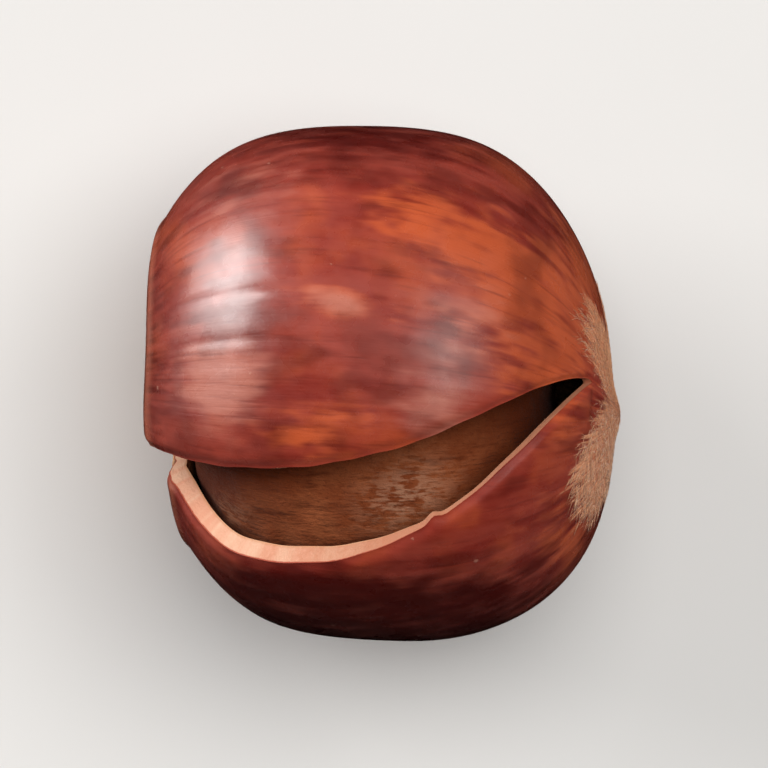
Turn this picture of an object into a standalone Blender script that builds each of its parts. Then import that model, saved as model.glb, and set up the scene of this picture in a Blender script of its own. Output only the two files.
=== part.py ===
"""A roasted chestnut with a split shell: the hard shell, and the kernel lying inside it.

The nut lies on its side. +Z is up, +X runs from the base scar to the tip, and the split
is on the upper left as seen from the base. The origin is the middle of the flat spot
that the nut rests on. All sizes are in metres.

Both pieces are drawn as a distance from the nut's middle along a direction. A direction
is set by its angle from the base scar's middle (0 there, 180 at the tip) and by its turn
round the nut (0 upward, 90 toward +Y).
"""

import math

import bmesh
import bpy
import numpy as np

# The nut's outside: its reach from the middle each way, and how square its rounds are
BASE_REACH = 0.0142
TIP_REACH = 0.0133
HALF_WIDTH = 0.0150
RISE = 0.0130
DROP = 0.0122
TIP_TAPER = 0.12
BASE_SQUARENESS = 2.5
TIP_SQUARENESS = 2.45
UPPER_SQUARENESS = 2.15
LOWER_SQUARENESS = 2.2
LEAN = 0.067

# The flat spot that the nut rests on, worn this far into its round, and the nut's middle above it
REST_DEPTH = 0.0004
MIDDLE_AHEAD = 0.00015
MIDDLE = np.array([MIDDLE_AHEAD, 0.0, DROP - REST_DEPTH])
DOWN = np.array([0.0, 0.0, -1.0])

# The scar that the nut grew from: a nearly flat disc, sunk a little below its rim
BASE_PITCH = -8.0
SCAR_DISTANCE = 0.01255
SCAR_TILT = math.radians(8.0)
SCAR_NORMAL = np.array([-math.cos(SCAR_TILT), 0.0, -math.sin(SCAR_TILT)])
SCAR_SINK = 0.00025
SCAR_EDGE = 36.0
SCAR_STEP = 2.5

# Finding a flat's reach: directions that face it less than this miss it, and reach this far
LEAST_FACING = 0.05
FAR_AWAY = 1.0
RIM_SEARCH_FROM = 0.0
RIM_SEARCH_TO = 80.0
RIM_SEARCH_STEPS = 40

# The tip, opposite the scar and worn down to a low stub
TIP_ANGLE = 180.0
TIP_PITCH = -5.0
TIP_YAW = -8.0
STUB_HEIGHT = 0.0004
STUB_WIDTH = 5.0

# The split, from inside the scar to just short of the tip: rows and turns, in degrees
SPLIT_START = 15.0
SPLIT_END = 157.0
SPLIT_WIDEST = 75.0
SPLIT_HALF = 11.4
SPLIT_FULLNESS = 0.55
SEAM_TURN = -35.0
SEAM_SWING = 51.5
SEAM_BEND_FROM = 55.0
SEAM_BEND_TO = 156.0
SEAM_BEND_POWER = 2.4

# How far the two lips have moved out of the round, at the scar and along the side
LOWER_LIP_AT_SCAR = -0.0005
LOWER_LIP_ALONG = 0.0008
UPPER_LIP_AT_SCAR = 0.0008
UPPER_LIP_ALONG = 0.0002
LIP_CHANGE = 30.0
LIP_REACH = 0.09

# The wall, thicker behind the scar
WALL = 0.0012
SCAR_WALL = 0.0017
WALL_CHANGE = 25.0

# The kernel: it lies on the shell's inside and has shrunk away from the rest of it
SEAT_GAP = 0.0003
TOP_GAP = 0.0009
TIP_GAP = 0.0016
TIP_GAP_FROM = 110.0
KERNEL_ROUNDING = 20.0
FURROWS = 5
FURROW_DEPTH = 0.0004
FURROW_SHARPNESS = 6.0

# How finely the two surfaces are divided
SHELL_ROUND = 56
KERNEL_ROUND = 44
SCAR_ROWS = 5
SIDE_ROWS = 20
END_ROWS = 4
KERNEL_ROWS = 24

# The finish of each piece, and the angle from which an edge shades as sharp
SHELL_COLOUR = (0.230, 0.036, 0.020, 1.0)
SHELL_ROUGHNESS = 0.32
KERNEL_COLOUR = (0.170, 0.062, 0.024, 1.0)
KERNEL_ROUGHNESS = 0.85
SHARP_ANGLE = math.radians(40.0)


def ease(share):
    """0 below 0, 1 above 1, and a smooth rise between."""
    share = np.clip(share, 0.0, 1.0)
    return share * share * (3.0 - 2.0 * share)


def direction(angle, turn):
    """The unit direction at this angle from the scar's middle and this turn, in degrees."""
    pull = ease(angle / TIP_ANGLE)
    pitch = np.radians(BASE_PITCH + (TIP_PITCH - BASE_PITCH) * pull)
    yaw = np.radians(TIP_YAW * pull)
    angle = np.radians(angle)
    turn = np.radians(turn)
    along = -np.cos(angle)
    across = np.sin(angle) * np.sin(turn)
    up = np.sin(angle) * np.cos(turn)
    level = along * np.cos(pitch) + up * np.sin(pitch)
    up = up * np.cos(pitch) - along * np.sin(pitch)
    x = level * np.cos(yaw) - across * np.sin(yaw)
    y = level * np.sin(yaw) + across * np.cos(yaw)
    return np.stack([x, y, up], axis=-1)


def round_reach(way):
    """How far the round of the nut reaches along each direction."""
    x, y, z = way[..., 0], way[..., 1], way[..., 2]
    reach = np.where(x < 0.0, BASE_REACH, TIP_REACH)
    height = np.where(z < 0.0, DROP, RISE) * (1.0 - TIP_TAPER * ease(x))
    end_power = np.where(x < 0.0, BASE_SQUARENESS, TIP_SQUARENESS)
    girth_power = np.where(z < 0.0, LOWER_SQUARENESS, UPPER_SQUARENESS)
    girth = np.abs(y / HALF_WIDTH) ** girth_power + np.abs(z / height) ** girth_power
    girth = girth ** (1.0 / girth_power)
    return (np.abs(x / reach) ** end_power + girth**end_power) ** (-1.0 / end_power)


def flat_reach(way, normal, distance):
    """How far a plane lies along each direction, and very far where it faces away."""
    facing = way @ normal
    return np.where(facing > LEAST_FACING, distance / np.maximum(facing, LEAST_FACING), FAR_AWAY)


def scar_reach(way):
    """How far the flat of the scar lies along each direction."""
    return flat_reach(way, SCAR_NORMAL, SCAR_DISTANCE)


def scar_rim(turn):
    """The angle at which the flat of the scar meets the round of the nut, found by halving."""
    inside = np.full(np.shape(turn), RIM_SEARCH_FROM)
    outside = np.full(np.shape(turn), RIM_SEARCH_TO)
    for _ in range(RIM_SEARCH_STEPS):
        middle = (inside + outside) / 2.0
        way = direction(middle, turn)
        on_scar = scar_reach(way) < round_reach(way)
        inside = np.where(on_scar, middle, inside)
        outside = np.where(on_scar, outside, middle)
    return inside


def angle_of(row, turn):
    """The true angle of a row: the row at SCAR_EDGE follows the scar's rim all the way round."""
    rim = scar_rim(turn)
    within = row * rim / SCAR_EDGE
    beyond = rim + (row - SCAR_EDGE) / (TIP_ANGLE - SCAR_EDGE) * (TIP_ANGLE - rim)
    return np.where(row < SCAR_EDGE, within, beyond)


def split_width(row):
    """How wide the split is at a row, as a share of its widest."""
    length = np.where(row < SPLIT_WIDEST, SPLIT_WIDEST - SPLIT_START, SPLIT_END - SPLIT_WIDEST)
    share = np.minimum(np.abs(row - SPLIT_WIDEST) / length, 1.0)
    return (1.0 - share**2) ** SPLIT_FULLNESS


def seam_turn(row):
    """The turn of the split's middle line, which swings upward toward the tip."""
    share = (row - SEAM_BEND_FROM) / (SEAM_BEND_TO - SEAM_BEND_FROM)
    return SEAM_TURN + SEAM_SWING * np.clip(share, 0.0, 1.0) ** SEAM_BEND_POWER


def turn_of(row, share):
    """The turn of a point that lies this share of the way round, from the lower lip to the upper."""
    near_seam = (1.0 + np.cos(2.0 * np.pi * share)) / 2.0
    swing = (seam_turn(row) - SEAM_TURN) * near_seam
    opening = SPLIT_HALF * split_width(row) * (1.0 - 2.0 * share)
    return SEAM_TURN - 360.0 * share + swing - opening


def lip_shift(row, share):
    """How far the split's lips stand out of the nut's round."""
    change = ease((row - SCAR_EDGE) / LIP_CHANGE)
    lower = LOWER_LIP_AT_SCAR + (LOWER_LIP_ALONG - LOWER_LIP_AT_SCAR) * change
    upper = UPPER_LIP_AT_SCAR + (UPPER_LIP_ALONG - UPPER_LIP_AT_SCAR) * change
    lower = lower * np.exp(-((share / LIP_REACH) ** 2))
    upper = upper * np.exp(-(((1.0 - share) / LIP_REACH) ** 2))
    return (lower + upper) * split_width(row)


def placed(way, reach):
    """The points this far from the nut's middle, with the nut's slight lean toward its base."""
    points = way * reach[..., None]
    points[..., 0] -= LEAN * points[..., 1]
    return points + MIDDLE


def wall_at(angle):
    """How thick the shell's wall is at an angle."""
    thin = ease((angle - SCAR_EDGE) / WALL_CHANGE)
    return SCAR_WALL + (WALL - SCAR_WALL) * thin


def shell_outside(row, share):
    """Points on the shell's outer face."""
    turn = turn_of(row, share)
    angle = angle_of(row, turn)
    way = direction(angle, turn)
    scar = scar_reach(way) - SCAR_SINK * ease((SCAR_EDGE - row) / SCAR_STEP)
    reach = np.minimum(round_reach(way), scar) + lip_shift(row, share)
    reach = reach + STUB_HEIGHT * np.exp(-(((TIP_ANGLE - angle) / STUB_WIDTH) ** 2))
    return placed(way, np.minimum(reach, flat_reach(way, DOWN, MIDDLE[2])))


def shell_inside(row, share):
    """Points on the shell's inner face."""
    turn = turn_of(row, share)
    angle = angle_of(row, turn)
    way = direction(angle, turn)
    reach = np.minimum(round_reach(way), scar_reach(way)) + lip_shift(row, share)
    return placed(way, reach - wall_at(angle))


def kernel_surface(angle, turn):
    """Points on the kernel, which follows the shell's inside with gaps and shallow furrows."""
    way = direction(angle, turn)
    round_part = round_reach(way) ** -KERNEL_ROUNDING
    scar_part = scar_reach(way) ** -KERNEL_ROUNDING
    reach = (round_part + scar_part) ** (-1.0 / KERNEL_ROUNDING)
    height = (1.0 + way[..., 2]) / 2.0
    gap = SEAT_GAP + (TOP_GAP - SEAT_GAP) * height
    gap = gap + TIP_GAP * ease((angle - TIP_GAP_FROM) / (TIP_ANGLE - TIP_GAP_FROM))
    crease = np.abs(np.cos(np.radians(turn) * FURROWS / 2.0)) ** FURROW_SHARPNESS
    furrow = FURROW_DEPTH * crease * np.sin(np.radians(angle)) * height
    return placed(way, reach - wall_at(angle) - gap - furrow)


def new_object(name, mesh_data, colour, roughness):
    """Turns a closed bmesh into a named, smoothly shaded object with its own material."""
    bmesh.ops.recalc_face_normals(mesh_data, faces=mesh_data.faces)
    mesh = bpy.data.meshes.new(name)
    mesh_data.to_mesh(mesh)
    mesh_data.free()
    mesh.shade_smooth()
    mesh.set_sharp_from_angle(angle=SHARP_ANGLE)
    material = bpy.data.materials.new(name)
    material.use_nodes = True
    surface = material.node_tree.nodes["Principled BSDF"]
    surface.inputs["Base Color"].default_value = colour
    surface.inputs["Roughness"].default_value = roughness
    mesh.materials.append(material)
    bpy.context.scene.collection.objects.link(bpy.data.objects.new(name, mesh))


def skin(mesh_data, surface, rows, columns, split):
    """Adds one face of the nut, from the scar's middle to the tip, and returns its rows of points.

    A row that the split crosses ends on the other lip, and any other row closes on itself.
    """
    first = mesh_data.verts.new(surface(np.array(0.0), np.array(0.5)))
    last = mesh_data.verts.new(surface(np.array(TIP_ANGLE), np.array(0.5)))
    grid = [[first] * (columns + 1)]
    for row in rows:
        shares = np.arange(columns + 1) / columns
        points = surface(np.full(columns + 1, row), shares)
        ring = [mesh_data.verts.new(point) for point in points[:-1]]
        ring.append(mesh_data.verts.new(points[-1]) if split(row) else ring[0])
        grid.append(ring)
    grid.append([last] * (columns + 1))
    for upper, lower in zip(grid[:-1], grid[1:]):
        for column in range(columns):
            corners = (upper[column], lower[column], lower[column + 1], upper[column + 1])
            mesh_data.faces.new(list(dict.fromkeys(corners)))
    return grid


def in_split(row):
    return SPLIT_START < row < SPLIT_END


def shell():
    """The hard shell: an outer and an inner face, joined along the two lips of the split."""
    before_split = [SPLIT_START / 2.0]
    across_scar = np.linspace(SPLIT_START, SCAR_EDGE - SCAR_STEP, SCAR_ROWS)
    along_side = np.linspace(SCAR_EDGE, SPLIT_END, SIDE_ROWS)
    to_tip = np.linspace(SPLIT_END, TIP_ANGLE, END_ROWS + 1)[1:-1]
    rows = [*before_split, *across_scar, *along_side, *to_tip]
    mesh_data = bmesh.new()
    outer = skin(mesh_data, shell_outside, rows, SHELL_ROUND, in_split)
    inner = skin(mesh_data, shell_inside, rows, SHELL_ROUND, in_split)
    for index in range(1, len(rows)):
        if not (in_split(rows[index - 1]) or in_split(rows[index])):
            continue
        for lip in (0, SHELL_ROUND):
            near = (outer[index][lip], inner[index][lip])
            far = (inner[index + 1][lip], outer[index + 1][lip])
            mesh_data.faces.new([*near, *far])
    new_object("shell", mesh_data, SHELL_COLOUR, SHELL_ROUGHNESS)


def kernel():
    """The kernel in its brown skin: one closed lump."""
    rows = np.linspace(0.0, TIP_ANGLE, KERNEL_ROWS + 1)[1:-1]
    mesh_data = bmesh.new()

    def surface(angle, share):
        return kernel_surface(angle, 360.0 * share)

    skin(mesh_data, surface, rows, KERNEL_ROUND, lambda row: False)
    new_object("kernel", mesh_data, KERNEL_COLOUR, KERNEL_ROUGHNESS)


for old in list(bpy.data.objects):
    bpy.data.objects.remove(old)
shell()
kernel()
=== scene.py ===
# The looks of a roasted sweet chestnut that lies on its side on a pale table, seen from straight above.
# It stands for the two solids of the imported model: the split shell and the kernel inside it.

import math

import bpy
import numpy as np
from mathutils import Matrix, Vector


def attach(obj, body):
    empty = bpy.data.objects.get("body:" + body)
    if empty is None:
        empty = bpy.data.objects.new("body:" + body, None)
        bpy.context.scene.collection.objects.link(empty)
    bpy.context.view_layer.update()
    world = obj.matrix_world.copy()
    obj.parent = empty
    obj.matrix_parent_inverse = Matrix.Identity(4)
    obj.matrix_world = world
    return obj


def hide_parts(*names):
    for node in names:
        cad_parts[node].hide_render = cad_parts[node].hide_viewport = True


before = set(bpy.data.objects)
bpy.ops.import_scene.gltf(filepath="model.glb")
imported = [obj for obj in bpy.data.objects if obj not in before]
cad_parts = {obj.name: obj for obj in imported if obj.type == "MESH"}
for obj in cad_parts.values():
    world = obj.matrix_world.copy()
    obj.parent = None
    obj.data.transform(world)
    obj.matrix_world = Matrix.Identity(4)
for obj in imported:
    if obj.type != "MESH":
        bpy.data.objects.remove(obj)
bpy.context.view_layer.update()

# The shell: a hard, glossy, red-brown wall a little over 1 mm thick, grown as one piece. A knife
# scored it before roasting, and the heat drew the score open into a split whose lips stand a little
# out of the round. It carries the dull scar that the nut grew from and the worn tip opposite.

MM = 0.001

# The nut's outside: its reach from the middle each way, and how square its rounds are
BASE_REACH = 14.2 * MM
TIP_REACH = 13.3 * MM
HALF_WIDTH = 15.0 * MM
RISE = 13.0 * MM
DROP = 12.2 * MM
TIP_TAPER = 0.12
BASE_SQUARENESS = 2.5
TIP_SQUARENESS = 2.45
UPPER_SQUARENESS = 2.15
LOWER_SQUARENESS = 2.2
LEAN = 0.067
REST_DEPTH = 0.4 * MM
MIDDLE = np.array([0.15 * MM, 0.0, DROP - REST_DEPTH])
DOWN = np.array([0.0, 0.0, -1.0])

# The scar's flat, its rim, and the way that the nut's long axis dips at each end, in degrees
SCAR_DISTANCE = 12.55 * MM
SCAR_TILT = math.radians(8.0)
SCAR_NORMAL = np.array([-math.cos(SCAR_TILT), 0.0, -math.sin(SCAR_TILT)])
SCAR_SINK = 0.25 * MM
SCAR_EDGE = 36.0
SCAR_STEP = 2.5
BASE_PITCH = -8.0
TIP_PITCH = -5.0
TIP_YAW = -8.0
TIP_ANGLE = 180.0
STUB_HEIGHT = 0.4 * MM
STUB_WIDTH = 5.0

# The split: its rows and turns in degrees, and how far its lips stand out at the scar and along the side
SPLIT_START = 15.0
SPLIT_END = 157.0
SPLIT_WIDEST = 75.0
SPLIT_HALF = 11.4
SPLIT_FULLNESS = 0.55
SEAM_TURN = -35.0
SEAM_SWING = 51.5
SEAM_BEND_FROM = 55.0
SEAM_BEND_TO = 156.0
SEAM_BEND_POWER = 2.4
LOWER_LIP_AT_SCAR = -0.5 * MM
LOWER_LIP_ALONG = 0.8 * MM
UPPER_LIP_AT_SCAR = 0.8 * MM
UPPER_LIP_ALONG = 0.2 * MM
LIP_CHANGE = 30.0
LIP_REACH = 0.09
WALL = 1.2 * MM
SCAR_WALL = 1.7 * MM
WALL_CHANGE = 25.0

# Finding a flat's reach: directions that face it less than this miss it, and reach this far
LEAST_FACING = 0.05
FAR_AWAY = 1.0
RIM_SEARCH_TO = 80.0
RIM_SEARCH_STEPS = 30


def ease(share):
    """0 below 0, 1 above 1, and a smooth rise between."""
    share = np.clip(share, 0.0, 1.0)
    return share * share * (3.0 - 2.0 * share)


def bump_at(distance, width):
    """A smooth hump, 1 in its middle."""
    return np.exp(-((distance / width) ** 2))


def direction(angle, turn):
    """The unit direction at this angle from the scar's middle and this turn round the nut, in degrees."""
    pull = ease(angle / TIP_ANGLE)
    pitch = np.radians(BASE_PITCH + (TIP_PITCH - BASE_PITCH) * pull)
    yaw = np.radians(TIP_YAW * pull)
    angle = np.radians(angle)
    turn = np.radians(turn)
    along = -np.cos(angle)
    across = np.sin(angle) * np.sin(turn)
    up = np.sin(angle) * np.cos(turn)
    level = along * np.cos(pitch) + up * np.sin(pitch)
    up = up * np.cos(pitch) - along * np.sin(pitch)
    x = level * np.cos(yaw) - across * np.sin(yaw)
    y = level * np.sin(yaw) + across * np.cos(yaw)
    return np.stack([x, y, up], axis=-1)


def round_reach(way):
    """How far the round of the nut reaches along each direction."""
    x, y, z = way[..., 0], way[..., 1], way[..., 2]
    reach = np.where(x < 0.0, BASE_REACH, TIP_REACH)
    height = np.where(z < 0.0, DROP, RISE) * (1.0 - TIP_TAPER * ease(x))
    end_power = np.where(x < 0.0, BASE_SQUARENESS, TIP_SQUARENESS)
    girth_power = np.where(z < 0.0, LOWER_SQUARENESS, UPPER_SQUARENESS)
    girth = np.abs(y / HALF_WIDTH) ** girth_power + np.abs(z / height) ** girth_power
    girth = girth ** (1.0 / girth_power)
    return (np.abs(x / reach) ** end_power + girth**end_power) ** (-1.0 / end_power)


def flat_reach(way, normal, distance):
    """How far a plane lies along each direction, and very far where it faces away."""
    facing = way @ normal
    return np.where(facing > LEAST_FACING, distance / np.maximum(facing, LEAST_FACING), FAR_AWAY)


def scar_reach(way):
    """How far the flat of the scar lies along each direction."""
    return flat_reach(way, SCAR_NORMAL, SCAR_DISTANCE)


def scar_rim(turn):
    """The angle at which the flat of the scar meets the round of the nut, found by halving."""
    inside = np.zeros(np.shape(turn))
    outside = np.full(np.shape(turn), RIM_SEARCH_TO)
    for _ in range(RIM_SEARCH_STEPS):
        middle = (inside + outside) / 2.0
        way = direction(middle, turn)
        on_scar = scar_reach(way) < round_reach(way)
        inside = np.where(on_scar, middle, inside)
        outside = np.where(on_scar, outside, middle)
    return inside


def angle_of(row, turn):
    """The true angle of a row: the row at SCAR_EDGE follows the scar's rim all the way round."""
    rim = scar_rim(turn)
    within = row * rim / SCAR_EDGE
    beyond = rim + (row - SCAR_EDGE) / (TIP_ANGLE - SCAR_EDGE) * (TIP_ANGLE - rim)
    return np.where(row < SCAR_EDGE, within, beyond)


def split_width(row):
    """How wide the split is at a row, as a share of its widest."""
    length = np.where(row < SPLIT_WIDEST, SPLIT_WIDEST - SPLIT_START, SPLIT_END - SPLIT_WIDEST)
    share = np.minimum(np.abs(row - SPLIT_WIDEST) / length, 1.0)
    return (1.0 - share**2) ** SPLIT_FULLNESS


def seam_turn(row):
    """The turn of the split's middle line, which swings upward toward the tip."""
    share = (row - SEAM_BEND_FROM) / (SEAM_BEND_TO - SEAM_BEND_FROM)
    return SEAM_TURN + SEAM_SWING * np.clip(share, 0.0, 1.0) ** SEAM_BEND_POWER


def turn_of(row, share):
    """The turn of a point that lies this share of the way round, from the lower lip to the upper."""
    near_seam = (1.0 + np.cos(2.0 * np.pi * share)) / 2.0
    swing = (seam_turn(row) - SEAM_TURN) * near_seam
    opening = SPLIT_HALF * split_width(row) * (1.0 - 2.0 * share)
    return SEAM_TURN - 360.0 * share + swing - opening


def lip_shift(row, share):
    """How far the split's lips stand out of the nut's round."""
    change = ease((row - SCAR_EDGE) / LIP_CHANGE)
    lower = LOWER_LIP_AT_SCAR + (LOWER_LIP_ALONG - LOWER_LIP_AT_SCAR) * change
    upper = UPPER_LIP_AT_SCAR + (UPPER_LIP_ALONG - UPPER_LIP_AT_SCAR) * change
    return (lower * bump_at(share, LIP_REACH) + upper * bump_at(1.0 - share, LIP_REACH)) * split_width(row)


def wall_at(angle):
    """How thick the shell's wall is at an angle."""
    return SCAR_WALL + (WALL - SCAR_WALL) * ease((angle - SCAR_EDGE) / WALL_CHANGE)


def placed(way, reach):
    """The points this far from the nut's middle, with the nut's slight lean toward its base."""
    points = way * reach[..., None]
    points[..., 0] -= LEAN * points[..., 1]
    return points + MIDDLE


# The finer relief of the shell: lengthwise flutes and two deeper grooves across the shine, dents, a
# ridge round the scar, and lips that are rounded off outside and waver a little along the cut
relief = np.random.default_rng(11)
FLUTES = (9, 13, 19, 28, 41, 58)
FLUTE_HEIGHT = 0.034 * MM
FLUTE_PHASES = relief.uniform(0.0, 2.0 * math.pi, len(FLUTES))
GROOVES = ((21.5, 0.055 * MM), (9.4, 0.025 * MM))
GROOVE_WIDTH = 1.1
GROOVE_ROW = 66.0
GROOVE_LENGTH = 24.0
DENT_WIDTH = 9.0 * MM
DENT_DEPTH = 0.09 * MM
RIM_RIDGE = 0.12 * MM
RIM_RIDGE_ROW = 38.4
RIM_RIDGE_WIDTH = 1.5
LIP_ROUNDING = 0.22 * MM
LIP_ROUNDING_REACH = 0.0055
LIP_WAVER = 0.11
SNAG_ROW = 109.0
SNAG_TURN = 1.5
SNAG_WIDTH = 1.6
PARED_SHARE = 0.5
PARED_REACH = 0.03
PARED_FROM = 82.0
PARED_TO = 120.0
PARED_AT_SCAR = 0.2
CUT_SLANT = 1.7
CUT_SLANT_ROW = 68.0
CUT_SLANT_LENGTH = 22.0
TOASTED_FROM = 42.0
TOASTED_TO = 118.0

# The scar's own relief: a crinkled, scalloped line inside its rim, fibres that fan out from the
# middle, and shallow lumps
CRINKLE_ROW = 32.3
CRINKLE_WAVES = 41
CRINKLE_SWING = 0.7
CRINKLE_WIDTH = 0.55
CRINKLE_DEPTH = 0.14 * MM
SCAR_FIBRES = (23, 37, 53)
SCAR_FIBRE_HEIGHT = 0.02 * MM
SCAR_LUMP_WIDTH = 2.2 * MM
SCAR_LUMP_HEIGHT = 0.035 * MM


def waves(turn, counts, phases):
    """Uneven ridges round the nut: one wave for each count, with the finer ones lower."""
    total = 0.0
    for count, phase in zip(counts, phases):
        total = total + np.cos(np.radians(turn) * count + phase) / math.sqrt(count)
    return total


def make_lumps(draw, width, count=14):
    """A smooth uneven field of about this width between lumps, as a function of points."""
    ways = draw.normal(size=(count, 3))
    ways = ways / np.linalg.norm(ways, axis=1)[:, None]
    pace = 2.0 * math.pi / (width * draw.uniform(0.8, 1.9, count))
    starts = draw.uniform(0.0, 2.0 * math.pi, count)

    def lumps(points):
        return np.cos(points @ (ways * pace[:, None]).T + starts).sum(axis=-1) / math.sqrt(count)

    return lumps


dents = make_lumps(relief, DENT_WIDTH)
scar_lumps = make_lumps(relief, SCAR_LUMP_WIDTH)
scar_phases = relief.uniform(0.0, 2.0 * math.pi, len(SCAR_FIBRES))
crinkle_phase = relief.uniform(0.0, 2.0 * math.pi, 3)
lip_phase = relief.uniform(0.0, 2.0 * math.pi, 6)


def crinkle_row(turn):
    """Where the crinkled line runs on the scar: scallops of uneven size."""
    angle = np.radians(turn)
    scallop = np.abs(np.sin(angle * CRINKLE_WAVES / 2.0 + 1.8 * np.sin(3.0 * angle + crinkle_phase[0])))
    scallop = scallop * (1.0 + 0.6 * np.sin(7.0 * angle + crinkle_phase[1]))
    drift = np.sin(5.0 * angle + crinkle_phase[1]) + np.sin(11.0 * angle + crinkle_phase[2])
    return CRINKLE_ROW + CRINKLE_SWING * (scallop + 0.6 * drift)


def lip_waver(row, share):
    """How many degrees the lips waver along the cut, fading within a few degrees of it."""
    lower = sum(np.sin(row / size + start) for size, start in zip((9.0, 4.1, 1.9), lip_phase[:3]))
    upper = sum(np.sin(row / size + start) for size, start in zip((8.0, 3.7, 1.6), lip_phase[3:]))
    snag = SNAG_TURN * bump_at(row - SNAG_ROW, SNAG_WIDTH)
    near_lower = bump_at(share, LIP_REACH / 6.0)
    near_upper = bump_at(1.0 - share, LIP_REACH / 6.0)
    return split_width(row) * (near_lower * (LIP_WAVER * lower + snag) + near_upper * LIP_WAVER * upper)


def shell_place(row, share):
    """The turn, angle and direction of a point of the shell."""
    turn = turn_of(row, share) + lip_waver(row, share)
    angle = angle_of(row, turn)
    return turn, angle, direction(angle, turn)


def shell_outside(row, share):
    """Points on the shell's outer face."""
    turn, angle, way = shell_place(row, share)
    on_scar = ease((SCAR_EDGE - row) / SCAR_STEP)
    reach = np.minimum(round_reach(way), scar_reach(way) - SCAR_SINK * on_scar) + lip_shift(row, share)
    plain = way * reach[..., None]
    off_ends = np.sin(np.radians(angle)) ** 2 * ease((row - SCAR_EDGE) / 20.0)
    reach = reach + FLUTE_HEIGHT * waves(turn, FLUTES, FLUTE_PHASES) * off_ends
    for groove_turn, groove_depth in GROOVES:
        apart = (turn - groove_turn + 180.0) % 360.0 - 180.0
        in_groove = bump_at(apart, GROOVE_WIDTH) * bump_at(row - GROOVE_ROW, GROOVE_LENGTH)
        reach = reach - groove_depth * in_groove
    reach = reach + DENT_DEPTH * dents(plain) * off_ends
    reach = reach + RIM_RIDGE * bump_at(row - RIM_RIDGE_ROW, RIM_RIDGE_WIDTH)
    reach = reach - CRINKLE_DEPTH * bump_at(row - crinkle_row(turn), CRINKLE_WIDTH)
    fanned = waves(turn, SCAR_FIBRES, scar_phases) * ease(row / CRINKLE_ROW)
    reach = reach + on_scar * (SCAR_FIBRE_HEIGHT * fanned + SCAR_LUMP_HEIGHT * scar_lumps(plain))
    reach = reach + STUB_HEIGHT * bump_at(TIP_ANGLE - angle, STUB_WIDTH)
    edge = bump_at(share, LIP_ROUNDING_REACH) + bump_at(1.0 - share, LIP_ROUNDING_REACH)
    reach = reach - LIP_ROUNDING * edge * np.minimum(split_width(row) * 4.0, 1.0)
    return placed(way, np.minimum(reach, flat_reach(way, DOWN, MIDDLE[2])))


def shell_inside(row, share):
    """Points on the shell's inner face. Near the lips its wall is pared thinner toward each end, and
    along the side it leans into the split, so that the cut faces a little outward."""
    turn, angle, _ = shell_place(row, share)
    near_lower = bump_at(share, PARED_REACH)
    near_upper = bump_at(1.0 - share, PARED_REACH)
    slant = CUT_SLANT * bump_at(row - CUT_SLANT_ROW, CUT_SLANT_LENGTH)
    way = direction(angle, turn + slant * (near_lower - near_upper))
    reach = np.minimum(round_reach(way), scar_reach(way)) + lip_shift(row, share)
    pared = PARED_SHARE * ease((row - PARED_FROM) / (PARED_TO - PARED_FROM))
    pared = pared + PARED_AT_SCAR * ease((SCAR_EDGE + WALL_CHANGE - row) / WALL_CHANGE)
    return placed(way, reach - wall_at(angle) * (1.0 - pared * (near_lower + near_upper)))


# The rows from the scar's middle to the tip, closest where the scar's crinkled line and rim are
SHELL_ROWS = np.concatenate([
    [0.0],
    np.linspace(2.5, SPLIT_START, 6),
    np.linspace(SPLIT_START, 30.0, 16)[1:],
    np.linspace(30.0, 40.0, 37)[1:],
    np.linspace(40.0, SPLIT_END, 138)[1:],
    np.linspace(SPLIT_END, TIP_ANGLE, 24)[1:],
])
OUTER_ROUND = 288
INNER_ROUND = 64
CUT_STEPS = 9
CLOSER_AT_LIPS = 0.78


def shares_round(count):
    """Shares of the way round, from one lip to the other, closer together near the lips."""
    even = np.arange(count + 1) / count
    return even - CLOSER_AT_LIPS * np.sin(2.0 * np.pi * even) / (2.0 * np.pi)


class Skin:
    """Collects the points and faces of one mesh, with values at its points and a material for each face."""

    def __init__(self):
        self.points = []
        self.faces = []
        self.finishes = []
        self.values = {}
        self.count = 0

    def add_points(self, points, **values):
        """Adds points and returns their numbers. Values that a call leaves out are 0."""
        points = np.asarray(points, float).reshape(-1, 3)
        numbers = np.arange(self.count, self.count + len(points))
        self.points.append(points)
        for name, value in values.items():
            self.values.setdefault(name, []).append((numbers, value))
        self.count += len(points)
        return numbers

    def add_grid(self, grid, finish):
        """Joins a grid of point numbers into faces, leaving out corners that fall together."""
        for near, far in zip(grid[:-1].tolist(), grid[1:].tolist()):
            for corners in zip(near[:-1], far[:-1], far[1:], near[1:]):
                corners = list(dict.fromkeys(corners))
                if len(corners) > 2:
                    self.faces.append(corners)
                    self.finishes.append(finish)

    def finish_object(self, name, materials):
        """Makes the object, with its values as attributes that the materials read."""
        mesh = bpy.data.meshes.new(name)
        mesh.from_pydata(np.concatenate(self.points).tolist(), [], self.faces)
        for value_name, parts in self.values.items():
            is_vector = np.ndim(parts[0][1]) == 2
            whole = np.zeros((self.count, 3) if is_vector else self.count)
            for numbers, value in parts:
                whole[numbers] = value
            attribute = mesh.attributes.new(value_name, "FLOAT_VECTOR" if is_vector else "FLOAT", "POINT")
            attribute.data.foreach_set("vector" if is_vector else "value", whole.ravel())
        for material in materials:
            mesh.materials.append(material)
        mesh.polygons.foreach_set("material_index", self.finishes)
        mesh.shade_smooth()
        mesh.update()
        made = bpy.data.objects.new(name, mesh)
        bpy.context.scene.collection.objects.link(made)
        return made


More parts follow.
